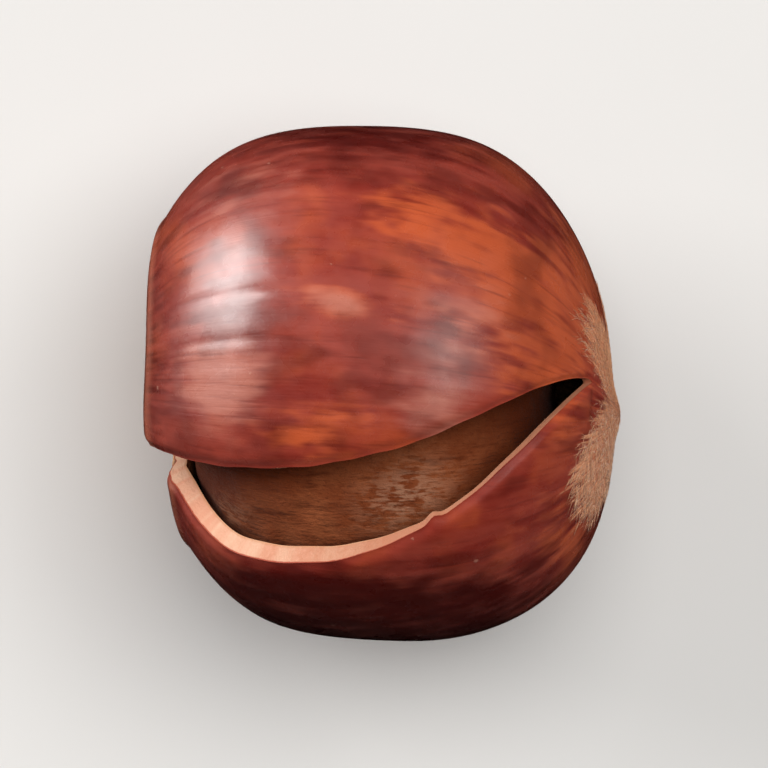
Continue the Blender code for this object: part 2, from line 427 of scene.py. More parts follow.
# The places on the shell that are coloured apart, each a soft spot: its middle in millimetres along
# the nut and across it as seen from above, its half length, its half width and its slant in degrees
ORANGE_SPOTS = (
    ("streak on the high right flank", 3.6, 8.6, 4.6, 1.5, -27.0, 1.0),
    ("high right flank", 7.5, 5.5, 5.0, 3.4, -35.0, 0.7),
    ("right shoulder", 9.5, 1.0, 2.4, 4.6, 12.0, 0.85),
    ("right edge", 12.2, 6.4, 1.6, 3.4, 25.0, 0.8),
    ("streak below the shine", -2.3, 4.5, 2.6, 0.7, -14.0, 1.1),
    ("flecks over the split", -4.0, -2.6, 3.4, 1.5, 0.0, 0.8),
    ("low right shoulder", 10.4, -9.0, 2.4, 2.4, 40.0, 0.6),
)
# Painted sheen: pale pinkish spots over, below and beside the shines, standing in for the haze of reflected light
PAINTED_SHEEN_SPOTS = (
    ("over the shine", -7.4, 10.8, 4.2, 2.0, 24.0, 0.45),
    ("below the shine", -9.0, 0.2, 2.6, 2.6, 0.0, 1.2),
    ("streak below the shine", -2.5, 4.5, 2.0, 0.6, -14.0, 1.1),
    ("weak shine", 5.0, 3.2, 3.2, 2.6, -30.0, 0.35),
    ("over the upper lip", 3.2, -1.6, 2.2, 2.8, 30.0, 0.7),
)
# Painted shade: darker spots where the far and left edges, the low side and a place right of the shine lie in shade
PAINTED_SHADE_SPOTS = (
    ("far edge", -1.0, 14.4, 11.0, 2.4, -3.0, 0.8),
    ("left edge", -13.6, 1.0, 1.6, 8.0, 0.0, 0.7),
    ("right of the shine", 0.0, 8.6, 3.0, 1.3, -35.0, 0.35),
    ("below the split", -5.0, -12.0, 7.0, 2.4, -16.0, 1.0),
    ("low side", 2.0, -13.4, 9.0, 2.6, 0.0, 0.9),
    ("low right", 5.0, -12.4, 4.0, 1.8, 25.0, 0.5),
)


def spots(points, places):
    """How strongly the named soft spots colour each point of the nut's upper side."""
    total = np.zeros(len(points))
    for _, x, y, half_length, half_width, slant, strength in places:
        along = points[:, 0] / MM - x
        across = points[:, 1] / MM - y
        slant = math.radians(slant)
        lengthwise = (along * math.cos(slant) + across * math.sin(slant)) / half_length
        sideways = (across * math.cos(slant) - along * math.sin(slant)) / half_width
        total = total + strength * np.exp(-(lengthwise**2 + sideways**2))
    return np.clip(total, 0.0, 1.0) * ease(points[:, 2] / MIDDLE[2] * 1.4 - 0.2)


# The wool at the tip: a felted cap with uneven rays, each with its turn, its length and its half
# width in degrees. It thins out over its fringe, and the section on the wool adds its hairs.
WOOL_CAP = 15.0
WOOL_RAYS = (
    (-40.0, 34.0, 32.0),
    (46.0, 32.0, 20.0),
    (98.0, 25.0, 13.0),
    (139.0, 33.0, 12.0),
    (-170.0, 24.0, 15.0),
    (-116.0, 31.0, 12.0),
)
WOOL_FRINGE = 15.0
wool_phase = relief.uniform(0.0, 2.0 * math.pi, 3)


def wool_at(angle, turn):
    """How much wool there is: 1 on the cap and along its rays, and less over their ragged fringe."""
    reach = np.full(np.shape(angle), WOOL_CAP)
    for middle, length, half_width in WOOL_RAYS:
        apart = (turn - middle + 180.0) % 360.0 - 180.0
        reach = np.maximum(reach, WOOL_CAP + (length - WOOL_CAP) * np.exp(-(np.abs(apart / half_width) ** 3)))
    angle_round = np.radians(turn)
    for count, phase in zip((11, 29, 53), wool_phase):
        reach = reach + np.sin(count * angle_round + phase)
    return ease((reach - (TIP_ANGLE - angle)) / WOOL_FRINGE + 0.5)


PARCHED_REACH = 0.022


def parched_at(row, share):
    """How far the heat has dulled the shell along the lips, on the split's half toward the tip."""
    near_lips = bump_at(share, PARCHED_REACH) + bump_at(1.0 - share, PARCHED_REACH)
    return near_lips * ease((row - PARED_FROM) / (PARED_TO - PARED_FROM))


GRAIN_ROUND = 13.5
GRAIN_ALONG = 0.22


def grain_at(angle, turn):
    """A place in the shell's grain, in millimetres: round the girth, and along from scar to tip."""
    turn = np.radians(turn)
    return np.stack([GRAIN_ROUND * np.cos(turn), GRAIN_ROUND * np.sin(turn), GRAIN_ALONG * angle], axis=-1)


def shell_face(skin, surface, columns, depth):
    """Adds the shell's outer or inner face and returns its grid of point numbers."""
    shares = shares_round(columns)
    grid = []
    for row in SHELL_ROWS:
        kept = shares[:-1]
        if row in (0.0, TIP_ANGLE):
            kept = shares[:1]
        if SPLIT_START < row < SPLIT_END:
            kept = shares
        rows = np.full(len(kept), row)
        points = surface(rows, kept)
        turn, angle, _ = shell_place(rows, kept)
        numbers = skin.add_points(
            points,
            grain=grain_at(angle, turn),
            scar=rows / SCAR_EDGE,
            crinkle=bump_at(rows - crinkle_row(turn), CRINKLE_WIDTH),
            wool=wool_at(angle, turn),
            orange=spots(points, ORANGE_SPOTS),
            # Painted sheen spots
            bloom=spots(points, PAINTED_SHEEN_SPOTS),
            # Painted shade spots
            deep=spots(points, PAINTED_SHADE_SPOTS),
            parched=parched_at(rows, kept),
            depth=np.full(len(kept), depth),
        )
        grid.append(np.resize(numbers, columns + 1))
    return np.array(grid)


def cut_faces(skin, outer, inner):
    """Adds the cut faces of the lower lip, column 0, and of the upper lip, the last column."""
    steps = np.arange(1, CUT_STEPS) / CUT_STEPS
    lips = {0: [], -1: []}
    for row, outer_ring, inner_ring in zip(SHELL_ROWS, outer, inner):
        if not SPLIT_START <= row <= SPLIT_END:
            continue
        for lip, grid in lips.items():
            if lip == 0 or SPLIT_START < row < SPLIT_END:
                here = np.array([row]), np.array([abs(lip)])
                turn, angle, _ = shell_place(*here)
                out_point = shell_outside(*here)
                points = out_point + (shell_inside(*here) - out_point) * steps[:, None]
                grain = np.repeat(grain_at(angle, turn), len(steps), axis=0)
                toast = ease((row - TOASTED_FROM) / (TOASTED_TO - TOASTED_FROM))
                numbers = skin.add_points(points, grain=grain, depth=steps, toast=toast)
            ring = [outer_ring[lip], *numbers, inner_ring[lip]]
            grid.append(ring if lip == 0 else ring[::-1])
    for grid in lips.values():
        skin.add_grid(np.array(grid), 1)


shell_skin = Skin()
outer_grid = shell_face(shell_skin, shell_outside, OUTER_ROUND, 0.0)
inner_grid = shell_face(shell_skin, shell_inside, INNER_ROUND, 1.0)
shell_skin.add_grid(outer_grid[:, ::-1], 0)
shell_skin.add_grid(inner_grid, 2)
cut_faces(shell_skin, outer_grid, inner_grid)


def seen(red, green, blue):
    """A colour given as it looks on a screen, from 0 to 255, in the linear values that shaders use."""
    def linear(level):
        level = level / 255.0
        return level / 12.92 if level <= 0.04045 else ((level + 0.055) / 1.055) ** 2.4

    return (linear(red), linear(green), linear(blue), 1.0)


class Paint:
    """Adds nodes to a material or a node group and joins them up."""

    def __init__(self, tree):
        self.tree = tree

    def node(self, kind, inputs=(), **settings):
        made = self.tree.nodes.new("ShaderNode" + kind)
        for name, value in settings.items():
            setattr(made, name, value)
        for key, value in dict(inputs).items():
            self.join(value, made.inputs[key])
        return made

    def join(self, value, socket):
        if isinstance(value, bpy.types.NodeSocket):
            self.tree.links.new(value, socket)
        else:
            socket.default_value = value

    def value(self, name):
        """A number that the mesh carries at its points."""
        return self.node("Attribute", attribute_name=name).outputs["Fac"]

    def vector(self, name):
        """A vector that the mesh carries at its points."""
        return self.node("Attribute", attribute_name=name).outputs["Vector"]

    def place(self):
        """The place on the piece, in millimetres."""
        own = self.node("TexCoord").outputs["Object"]
        return self.node("VectorMath", {0: own, 1: (1.0 / MM,) * 3}, operation="MULTIPLY").outputs[0]

    def maths(self, operation, first, second=0.0, third=0.0):
        return self.node("Math", {0: first, 1: second, 2: third}, operation=operation).outputs[0]

    def times(self, first, second):
        return self.maths("MULTIPLY", first, second)

    def without(self, mask, other):
        """A mask where another mask isn't."""
        return self.times(mask, self.maths("SUBTRACT", 1.0, other))

    def ramp(self, value, low, high, to_low=0.0, to_high=1.0):
        """A smooth change from to_low to to_high as value goes from low to high."""
        inputs = {"Value": value, "From Min": low, "From Max": high, "To Min": to_low, "To Max": to_high}
        return self.node("MapRange", inputs, interpolation_type="SMOOTHSTEP").outputs["Result"]

    def mix(self, share, first, second, blend="MIX"):
        """The first colour, going over to the second by share."""
        made = self.node("Mix", {0: share, 6: first, 7: second}, data_type="RGBA", blend_type=blend)
        return made.outputs[2]

    def noise(self, vector, scale, detail=2.0, roughness=0.5):
        inputs = {"Vector": vector, "Scale": scale, "Detail": detail, "Roughness": roughness}
        return self.node("TexNoise", inputs).outputs[0]

    def group(self, tree, inputs):
        """A node group placed here with its own values."""
        made = self.node("Group", node_tree=tree)
        for name, value in inputs.items():
            self.join(value, made.inputs[name])
        return made.outputs[0]


def new_group(name, inputs, build):
    """A shader node group with named number or vector inputs, and one output called Value."""
    tree = bpy.data.node_groups.new(name, "ShaderNodeTree")
    for input_name, start in inputs.items():
        kind = "NodeSocketVector" if isinstance(start, tuple) else "NodeSocketFloat"
        tree.interface.new_socket(name=input_name, in_out="INPUT", socket_type=kind).default_value = start
    tree.interface.new_socket(name="Value", in_out="OUTPUT", socket_type="NodeSocketFloat")
    way_in = tree.nodes.new("NodeGroupInput")
    way_out = tree.nodes.new("NodeGroupOutput")
    paint = Paint(tree)
    tree.links.new(build(paint, way_in.outputs), way_out.inputs["Value"])
    return tree


def build_streaks(paint, given):
    """Fibres that run from scar to tip: noise that is fine round the nut and long along it."""
    round_scale, along_scale = given["Round"], given["Along"]
    stretch = paint.node("CombineXYZ", {0: round_scale, 1: round_scale, 2: along_scale}).outputs[0]
    moved = paint.node("VectorMath", {0: given["Grain"], 1: stretch}, operation="MULTIPLY").outputs[0]
    return paint.noise(moved, 1.0, given["Detail"], 0.6)


def build_specks(paint, given):
    """Scattered specks of uneven size: the middles of some cells, the fewer the smaller the share."""
    frayed = paint.node("TexNoise", {"Vector": given["Place"], "Scale": 7.0, "Detail": 2.0}).outputs[1]
    shift = paint.node("VectorMath", {0: frayed, 1: (0.22,) * 3}, operation="MULTIPLY").outputs[0]
    place = paint.node("VectorMath", {0: given["Place"], 1: shift}, operation="ADD").outputs[0]
    cells = paint.node("TexVoronoi", {"Vector": place, "Scale": given["Scale"], "Randomness": 1.0})
    lots = paint.node("SeparateColor", {0: cells.outputs["Color"]})
    chosen = paint.maths("LESS_THAN", lots.outputs[0], given["Share"])
    size = paint.times(given["Size"], paint.maths("MULTIPLY_ADD", lots.outputs[1], 0.8, 0.3))
    near = paint.ramp(cells.outputs["Distance"], paint.times(size, 0.4), size, 1.0, 0.0)
    return paint.times(chosen, near)


streaks_inputs = {"Grain": (0.0, 0.0, 0.0), "Round": 1.0, "Along": 0.1, "Detail": 3.0}
streaks_group = new_group("streaks", streaks_inputs, build_streaks)
specks_inputs = {"Place": (0.0, 0.0, 0.0), "Scale": 1.0, "Share": 0.3, "Size": 0.3}
specks_group = new_group("specks", specks_inputs, build_specks)


def streaks(paint, round_scale, along_scale, detail=3.0):
    """Streaks along the grain, with about this many round and along it in each millimetre."""
    values = {"Grain": paint.vector("grain"), "Round": round_scale, "Along": along_scale, "Detail": detail}
    return paint.group(streaks_group, values)


def specks(paint, place, scale, share, size):
    return paint.group(specks_group, {"Place": place, "Scale": scale, "Share": share, "Size": size})


def new_material(name, **constants):
    """A material with its Principled surface and the values that are the same all over it."""
    material = bpy.data.materials.new(name)
    material.use_nodes = True
    surface = material.node_tree.nodes["Principled BSDF"]
    for key, value in constants.items():
        surface.inputs[key.replace("_", " ").title().replace("Ior", "IOR")].default_value = value
    return material, Paint(material.node_tree), surface


SKIN = seen(130, 38, 27)
SKIN_ROSE = seen(155, 60, 45)
SKIN_ORANGE = seen(192, 84, 44)
# Pale pinkish colour of the painted sheen
SKIN_PAINTED_SHEEN = seen(184, 110, 92)
# Dark red for random dark blotches and for the painted shade
SKIN_DARK_AND_SHADE = seen(78, 10, 5)
SKIN_LINE = seen(84, 20, 14)
SKIN_HALO = seen(176, 104, 76)
SKIN_SPECK = seen(214, 160, 136)
SCAR_TAN = seen(176, 130, 92)
SCAR_BROWN = seen(136, 90, 60)
SCAR_PALE = seen(196, 152, 112)
SCAR_LINE = seen(58, 32, 18)
WOOL_TAN = seen(236, 168, 124)
WOOL_SHADE = seen(188, 108, 72)


def patches(paint, name, pattern, strength):
    """The soft spots that the mesh carries under this name, broken up by a pattern around 0."""
    spot = paint.value(name)
    broken = paint.ramp(paint.maths("MULTIPLY_ADD", pattern, strength, spot), 0.1, 1.1)
    return paint.times(broken, paint.ramp(spot, 0.0, 0.3))


def shell_material():
    """Glossy mottled skin, which turns to dull fibrous scar inside the rim and to felt at the tip."""
    material, paint, surface = new_material("chestnut shell", coat_ior=1.7, specular_ior_level=0.5)
    place = paint.place()
    broad = streaks(paint, 0.5, 0.13)
    blotch = streaks(paint, 0.5, 0.3, 1.5)
    mottle = streaks(paint, 1.0, 0.5, 1.5)
    fine = streaks(paint, 2.6, 0.22)
    hair = streaks(paint, 8.0, 0.4)
    cloud = paint.noise(place, 0.2, 3.0)
    flecks = paint.noise(place, 1.1, 4.0, 0.6)

    skin = paint.mix(paint.ramp(broad, 0.35, 0.68), SKIN, SKIN_ROSE)
    skin = paint.mix(paint.times(paint.ramp(cloud, 0.5, 0.7), 0.5), skin, SKIN_ORANGE)
    skin = paint.mix(paint.times(paint.ramp(mottle, 0.46, 0.66), 0.5), skin, SKIN_ROSE)
    skin = paint.mix(paint.times(paint.ramp(blotch, 0.5, 0.3), 0.5), skin, SKIN_DARK_AND_SHADE)
    patchy = paint.maths("SUBTRACT", paint.maths("MULTIPLY_ADD", fine, 0.4, mottle), 0.7)
    skin = paint.mix(paint.times(patches(paint, "orange", patchy, 2.2), 0.95), skin, SKIN_ORANGE)
    # Painted sheen: the haze of the reflections, put into the colour
    skin = paint.mix(paint.times(patches(paint, "bloom", patchy, 1.2), 0.85), skin, SKIN_PAINTED_SHEEN)
    # Painted shade from the spots above, broken up by mottle and joined by random dark cloud
    deep = patches(paint, "deep", patchy, -1.2)
    deep = paint.maths("MAXIMUM", deep, paint.ramp(cloud, 0.5, 0.3, 0.0, 0.5))
    skin = paint.mix(deep, skin, SKIN_DARK_AND_SHADE)
    skin = paint.mix(paint.times(paint.ramp(fine, 0.45, 0.28), 0.32), skin, SKIN_LINE)
    skin = paint.mix(paint.times(paint.ramp(hair, 0.58, 0.75), 0.14), skin, SKIN_ROSE)
    lint = specks(paint, place, 1.1, 0.1, 0.16)
    skin = paint.mix(paint.times(lint, 0.3), skin, SKIN_SPECK)
    scar_share = paint.value("scar")
    halo = paint.times(paint.ramp(scar_share, 1.0, 1.05), paint.ramp(scar_share, 1.16, 1.06))
    skin = paint.mix(paint.times(halo, 0.45), skin, SKIN_HALO)

    fibres = streaks(paint, 3.4, 0.5)
    lumps = paint.noise(place, 0.55, 4.0, 0.62)
    scar = paint.mix(paint.ramp(lumps, 0.38, 0.66), SCAR_BROWN, SCAR_TAN)
    scar = paint.mix(paint.times(paint.ramp(scar_share, 0.7, 0.1), 0.5), scar, SCAR_BROWN)
    scar = paint.mix(paint.times(paint.ramp(fibres, 0.55, 0.75), 0.6), scar, SCAR_PALE)
    scar = paint.mix(paint.times(paint.ramp(fibres, 0.45, 0.28), 0.55), scar, SCAR_BROWN)
    scar = paint.mix(paint.times(paint.ramp(scar_share, 0.9, 0.97), 0.5), scar, SCAR_PALE)
    scar = paint.mix(paint.times(paint.value("crinkle"), paint.ramp(flecks, 0.34, 0.58)), scar, SCAR_LINE)
    ragged = paint.maths("MULTIPLY_ADD", paint.maths("SUBTRACT", fibres, 0.5), 0.05, scar_share)
    on_scar = paint.ramp(ragged, 1.012, 0.985)

    felt = streaks(paint, 4.0, 0.8)
    wool = paint.mix(paint.ramp(felt, 0.35, 0.65), WOOL_SHADE, WOOL_TAN)
    locks = paint.maths("ADD", streaks(paint, 1.4, 0.35), paint.times(felt, 0.6))
    frayed = paint.maths("MULTIPLY_ADD", paint.maths("SUBTRACT", locks, 0.8), 2.2, paint.value("wool"))
    on_wool = paint.times(paint.ramp(frayed, 0.3, 0.75), paint.ramp(paint.value("wool"), 0.02, 0.14, 0.0, 0.85))

    colour = paint.mix(on_wool, paint.mix(on_scar, skin, scar), wool)
    paint.join(colour, surface.inputs["Base Color"])
    gloss = paint.maths("MULTIPLY_ADD", fine, 0.16, paint.ramp(flecks, 0.3, 0.7, 0.32, 0.42))
    dull = paint.maths("MAXIMUM", on_scar, on_wool)
    roughness = paint.maths("MAXIMUM", gloss, paint.times(dull, 0.85))
    paint.join(roughness, surface.inputs["Roughness"])
    parched = paint.times(paint.value("parched"), 0.9)
    paint.join(paint.maths("SUBTRACT", 1.0, paint.maths("MAXIMUM", dull, parched)), surface.inputs["Coat Weight"])
    smudge = paint.noise(place, 0.45, 3.0, 0.6)
    paint.join(paint.ramp(smudge, 0.35, 0.65, 0.22, 0.34), surface.inputs["Coat Roughness"])

    skin_height = paint.maths("ADD", paint.times(fine, 0.55), paint.times(hair, 0.16))
    skin_height = paint.maths("ADD", skin_height, paint.times(paint.noise(place, 2.4, 3.0), 0.3))
    rough_height = paint.maths("ADD", paint.times(fibres, 1.4), paint.times(paint.noise(place, 5.0, 4.0, 0.7), 1.2))
    height = paint.maths("ADD", paint.without(skin_height, dull), paint.times(rough_height, on_scar))
    height = paint.maths("ADD", height, paint.times(paint.times(felt, 2.2), on_wool))
    height = paint.maths("ADD", height, paint.times(lint, 0.2))
    relief_map = paint.node("Bump", {"Height": height, "Strength": 1.0, "Distance": 0.05 * MM})
    paint.join(relief_map.outputs[0], surface.inputs["Normal"])
    return material


CUT_PALE = seen(219, 174, 145)
CUT_SALMON = seen(212, 150, 121)
CUT_SKIN = seen(160, 66, 44)
CUT_INNER = seen(190, 134, 94)
CUT_TOAST = seen(184, 118, 88)


def cut_material():
    """The wall where the knife went through: pale woody fibre under a thin red-brown skin."""
    material, paint, surface = new_material("cut wall")
    place = paint.place()
    depth = paint.value("depth")
    along = streaks(paint, 0.5, 1.3)
    grit = paint.noise(place, 3.2, 4.0, 0.65)
    wood = paint.mix(paint.ramp(along, 0.35, 0.65), CUT_SALMON, CUT_PALE)
    wood = paint.mix(paint.times(paint.ramp(grit, 0.5, 0.3), 0.45), wood, CUT_SALMON)
    edge = paint.maths("MULTIPLY_ADD", paint.maths("SUBTRACT", grit, 0.5), 0.12, depth)
    wood = paint.mix(paint.ramp(edge, 0.11, 0.04), wood, CUT_SKIN)
    wood = paint.mix(paint.times(paint.ramp(edge, 0.8, 0.98), 0.7), wood, CUT_INNER)
    toast = paint.maths("ADD", paint.value("toast"), paint.times(paint.maths("SUBTRACT", grit, 0.5), 0.6))
    wood = paint.mix(paint.times(paint.ramp(toast, 0.05, 0.9), 0.85), wood, CUT_TOAST)
    paint.join(wood, surface.inputs["Base Color"])
    paint.join(paint.ramp(grit, 0.3, 0.7, 0.5, 0.75), surface.inputs["Roughness"])
    height = paint.maths("ADD", grit, paint.times(along, 0.6))
    relief_map = paint.node("Bump", {"Height": height, "Strength": 1.0, "Distance": 0.06 * MM})
    paint.join(relief_map.outputs[0], surface.inputs["Normal"])
    return material


LINING_TAN = seen(158, 108, 74)
LINING_BROWN = seen(104, 62, 38)


def lining_material():
    """The shell's inside: thin tan felt with dull lengthwise streaks."""
    material, paint, surface = new_material("shell lining")
    place = paint.place()
    felt = streaks(paint, 3.0, 0.5)
    cloud = paint.noise(place, 0.8, 4.0, 0.6)
    share = paint.ramp(paint.maths("ADD", felt, cloud), 0.8, 1.25)
    paint.join(paint.mix(share, LINING_BROWN, LINING_TAN), surface.inputs["Base Color"])
    paint.join(paint.ramp(cloud, 0.3, 0.7, 0.75, 0.95), surface.inputs["Roughness"])
    height = paint.maths("ADD", felt, paint.noise(place, 5.0, 3.0))
    relief_map = paint.node("Bump", {"Height": height, "Strength": 1.0, "Distance": 0.08 * MM})
    paint.join(relief_map.outputs[0], surface.inputs["Normal"])
    return material


shell = shell_skin.finish_object("split_shell", [shell_material(), cut_material(), lining_material()])
shell.data.set_sharp_from_angle(angle=math.radians(50.0))
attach(shell, "root")
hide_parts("shell")

# The kernel: one lump of sweet, firm flesh in its own thin brown skin, which stays on it. It lies loose
# in the shell, touching the wall below it, and roasting has shrunk it away from the tip and the split.

SEAT_GAP = 0.3 * MM
TOP_GAP = 0.9 * MM
GAP_OPENS_FROM = 50.0
GAP_OPENS_OVER = 50.0
TIP_GAP = 1.6 * MM
TIP_GAP_FROM = 110.0
KERNEL_ROUNDING = 40.0
FURROWS = 5
FURROW_DEPTH = 0.4 * MM
FURROW_SHARPNESS = 6.0
WRINKLE_WIDTH = 1.5 * MM
WRINKLE_DEPTH = 0.05 * MM
SKIN_FOLDS = (17, 31, 47)
SKIN_FOLD_DEPTH = 0.05 * MM
KERNEL_ROWS = 150
KERNEL_ROUND = 220

# The places on the kernel that are coloured apart, given as those on the shell are
# Painted shade: dark spots where the shell's scar end, its upper lip and the deep end of the split shadow the
# kernel
KERNEL_PAINTED_SHADE_SPOTS = (
    ("scar end", -9.6, -6.2, 4.2, 2.6, 0.0, 0.9),
    ("under the upper lip", -5.0, -4.6, 6.0, 1.0, -2.0, 0.5),
    ("toward the tip", 8.5, -2.0, 4.0, 5.0, 0.0, 0.9),
)
KERNEL_FUZZ_SPOTS = (
    ("scraped place", 1.4, -6.5, 2.3, 1.6, 25.0, 0.85),
    ("pale rub at the scar end", -9.0, -7.6, 1.5, 1.0, 0.0, 0.35),
)

wrinkles = make_lumps(relief, WRINKLE_WIDTH, 22)
fold_phases = relief.uniform(0.0, 2.0 * math.pi, len(SKIN_FOLDS))


def kernel_surface(angle, turn):
    """Points on the kernel, which follows the shell's inside with gaps, furrows and fine wrinkles."""
    way = direction(angle, turn)
    round_part = round_reach(way) ** -KERNEL_ROUNDING
    scar_part = scar_reach(way) ** -KERNEL_ROUNDING
    reach = (round_part + scar_part) ** (-1.0 / KERNEL_ROUNDING)
    height = (1.0 + way[..., 2]) / 2.0
    gap = SEAT_GAP + (TOP_GAP - SEAT_GAP) * height * ease((angle - GAP_OPENS_FROM) / GAP_OPENS_OVER)
    gap = gap + TIP_GAP * ease((angle - TIP_GAP_FROM) / (TIP_ANGLE - TIP_GAP_FROM))
    crease = np.abs(np.cos(np.radians(turn) * FURROWS / 2.0)) ** FURROW_SHARPNESS
    furrow = FURROW_DEPTH * crease * np.sin(np.radians(angle)) * height
    plain = way * reach[..., None]
    folds = waves(turn, SKIN_FOLDS, fold_phases) * np.sin(np.radians(angle))
    fine = WRINKLE_DEPTH * (wrinkles(plain) - 1.6) + SKIN_FOLD_DEPTH * (folds - 0.7)
    return placed(way, reach - wall_at(angle) - gap - furrow + fine * height)


def kernel_skin():
    """The kernel's mesh: rows from the scar's end to the tip's, each closed on itself."""
    skin = Skin()
    turns = 360.0 * np.arange(KERNEL_ROUND) / KERNEL_ROUND
    grid = []
    for angle in np.linspace(0.0, TIP_ANGLE, KERNEL_ROWS + 1):
        at_end = angle in (0.0, TIP_ANGLE)
        kept = turns[:1] if at_end else turns
        angles = np.full(len(kept), angle)
        points = kernel_surface(angles, kept)
        numbers = skin.add_points(
            points,
            grain=grain_at(angles, kept),
            crease=np.abs(np.cos(np.radians(kept) * FURROWS / 2.0)) ** FURROW_SHARPNESS,
            # Painted shade spots
            dark=spots(points, KERNEL_PAINTED_SHADE_SPOTS),
            fuzz=spots(points, KERNEL_FUZZ_SPOTS),
        )
        grid.append(np.resize(numbers, KERNEL_ROUND + 1))
    skin.add_grid(np.array(grid), 0)
    return skin


KERNEL_BROWN = seen(126, 62, 33)
KERNEL_TAN = seen(152, 84, 50)
KERNEL_SHADE = seen(82, 30, 8)
KERNEL_VEIN = seen(68, 26, 10)
KERNEL_FUZZ = seen(178, 128, 100)


def kernel_material():
    """Dull papery skin: brown, veined lengthwise, darker in the furrows, with a fine fuzz of fibres, and painted
    shade where the shell shadows it.
    """
    material, paint, surface = new_material("kernel skin", sheen_weight=0.04, specular_ior_level=0.18)
    place = paint.place()
    veins = streaks(paint, 1.4, 0.35)
    fibres = streaks(paint, 5.0, 1.1)
    cloud = paint.noise(place, 0.5, 4.0, 0.6)
    grit = paint.noise(place, 4.0, 4.0, 0.7)
    brown = paint.mix(paint.ramp(cloud, 0.35, 0.68), KERNEL_BROWN, KERNEL_TAN)
    brown = paint.mix(paint.times(paint.ramp(fibres, 0.5, 0.72), 0.4), brown, KERNEL_TAN)
    brown = paint.mix(paint.times(paint.ramp(veins, 0.46, 0.3), 0.65), brown, KERNEL_VEIN)
    brown = paint.mix(paint.times(paint.ramp(grit, 0.45, 0.25), 0.6), brown, KERNEL_SHADE)
    brown = paint.mix(paint.times(paint.value("crease"), 0.6), brown, KERNEL_SHADE)
    # Painted shade where the shell shadows the kernel
    brown = paint.mix(paint.value("dark"), brown, KERNEL_SHADE)
    patchy = paint.maths("ADD", fibres, paint.noise(place, 1.3, 3.0))
    fuzz = paint.times(paint.value("fuzz"), paint.ramp(patchy, 0.88, 1.12))
    brown = paint.mix(fuzz, brown, KERNEL_FUZZ)
    paint.join(brown, surface.inputs["Base Color"])
    paint.join(paint.ramp(grit, 0.3, 0.7, 0.7, 0.92), surface.inputs["Roughness"])
    height = paint.maths("ADD", paint.times(veins, 1.2), paint.times(fibres, 0.8))
    height = paint.maths("ADD", height, grit)
    relief_map = paint.node("Bump", {"Height": height, "Strength": 1.0, "Distance": 0.09 * MM})
    paint.join(relief_map.outputs[0], surface.inputs["Normal"])
    return material


kernel = kernel_skin().finish_object("brown_kernel", [kernel_material()])
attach(kernel, "root")
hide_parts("kernel")

# The wool at the tip: short, stiff, tan hairs of the shell's own down, left where handling hasn't
# rubbed it off. They are rooted in the shell, lie almost flat and point away from the tip.

HAIRS = 5200
HAIR_TRIES = 60000
HAIR_LENGTHS = (0.45 * MM, 1.15 * MM)
HAIR_RADIUS = 0.017 * MM
HAIR_LIFT = 0.12 * MM
HAIR_SPREAD = math.radians(28.0)
HAIR_SIDES = 3
CLEAR_OF_LIPS = 0.006
ROW_LENGTH = 0.27 * MM


def hair_roots():
    """Rows, shares and directions of the hairs: as many as there is wool, none across the split."""
    draw = np.random.default_rng(5)
    rows = TIP_ANGLE - 34.0 * np.sqrt(draw.uniform(0.0, 1.0, HAIR_TRIES))
    shares = draw.uniform(CLEAR_OF_LIPS, 1.0 - CLEAR_OF_LIPS, HAIR_TRIES)
    turn, angle, _ = shell_place(rows, shares)
    kept = np.flatnonzero(draw.uniform(0.0, 1.0, HAIR_TRIES) < wool_at(angle, turn) - 0.15)[:HAIRS]
    lengths = draw.uniform(*HAIR_LENGTHS, HAIRS)[:len(kept)]
    headings = draw.normal(0.0, HAIR_SPREAD, HAIRS)[:len(kept)]
    lifts = draw.uniform(0.1, 1.0, HAIRS)[:len(kept)]
    return rows[kept], shares[kept], lengths, headings, lifts


def hair_line(rows, shares, lengths, headings, lifts, part):
    """Where each hair is, this part of the way from its root to its end."""
    down = lengths * part * np.cos(headings) / ROW_LENGTH
    girth = np.maximum(np.sin(np.radians(TIP_ANGLE - rows)), 0.12) * HALF_WIDTH * 2.0 * math.pi
    aside = lengths * part * np.sin(headings) / girth
    at_shares = np.clip(shares + aside, CLEAR_OF_LIPS / 2.0, 1.0 - CLEAR_OF_LIPS / 2.0)
    at_rows = rows - down
    points = shell_outside(at_rows, at_shares)
    _, _, way = shell_place(at_rows, at_shares)
    return points + way * (HAIR_LIFT * lifts * part - HAIR_RADIUS)[:, None]


def wool_hairs():
    """Every hair as a slim closed spike of three sides, bent once."""
    skin = Skin()
    given = hair_roots()
    root, bend, end = (hair_line(*given, part) for part in (0.0, 0.5, 1.0))
    run = end - root
    run = run / np.linalg.norm(run, axis=1)[:, None]
    side = np.cross(run, DOWN + 0.01)
    side = side / np.linalg.norm(side, axis=1)[:, None]
    up = np.cross(side, run)
    turns = 2.0 * math.pi * np.arange(HAIR_SIDES) / HAIR_SIDES
    shade = np.random.default_rng(6).uniform(0.0, 1.0, len(root))
    rings = []
    for middle, radius in ((root, HAIR_RADIUS), (bend, HAIR_RADIUS * 0.8)):
        ring = [middle + radius * (math.cos(turn) * side + math.sin(turn) * up) for turn in turns]
        rings.append([skin.add_points(corner, shade=shade) for corner in ring])
    tips = skin.add_points(end, shade=shade)
    for hair in range(len(root)):
        low = [int(corner[hair]) for corner in rings[0]]
        high = [int(corner[hair]) for corner in rings[1]]
        skin.faces.append(low)
        for near in range(HAIR_SIDES):
            far = (near + 1) % HAIR_SIDES
            skin.faces.append([low[far], low[near], high[near], high[far]])
            skin.faces.append([high[far], high[near], int(tips[hair])])
    skin.finishes = [0] * len(skin.faces)
    return skin


HAIR_PALE = seen(226, 174, 132)
HAIR_TAN = seen(182, 118, 82)


